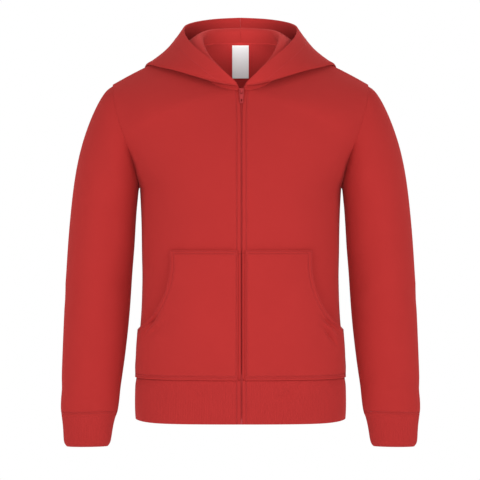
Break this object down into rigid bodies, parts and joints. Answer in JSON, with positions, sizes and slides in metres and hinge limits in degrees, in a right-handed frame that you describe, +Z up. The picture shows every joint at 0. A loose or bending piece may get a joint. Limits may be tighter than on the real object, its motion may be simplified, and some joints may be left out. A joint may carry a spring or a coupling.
{
  "type": "hooded sweatshirt",
  "caption": "Child's zip-through hoodie in brushed fleece, with its hood pushed back, kangaroo pocket, rib cuffs and hem band, keeping the hollow form of being worn.",
  "frame": {"origin": "midway between the neck points at the top of the shoulder seams, where a wearer's shoulders hold the garment", "axes": "+Z up towards the hood, -Y out of the front, +X to the wearer's left"},
  "size_m": [0.5028, 0.2442, 0.6079],
  "materials": {
    "fleece": "brushed fleece, matt",
    "rib": "fine rib knit, matt",
    "tape": "woven tape",
    "label": "satin",
    "painted_metal": "painted to match the cloth"
  },
  "bodies": {
    "hoodie": {"front_left": "fleece", "front_right": "fleece", "back": "fleece", "sleeve_left": "fleece", "sleeve_right": "fleece", "cuff_left": "rib", "cuff_right": "rib", "waistband": "rib", "pocket_left": "fleece", "pocket_right": "fleece", "hood_left": "fleece", "hood_right": "fleece", "neck_tape": "tape", "neck_label": "label", "zip_tape_left": "tape", "zip_tape_right": "tape", "zip_chain": "tape", "zip_box": "painted_metal", "zip_slider": "painted_metal"},
    "pull_tab": {"zip_pull": "painted_metal"}
  },
  "joints": [
    {"name": "pull_swing", "type": "hinge", "parent": "hoodie", "child": "pull_tab", "pos_m": [0.0014, -0.07068, -0.06888], "axis": [-1, 0, 0], "range_deg": [0, 150]}
  ]
}
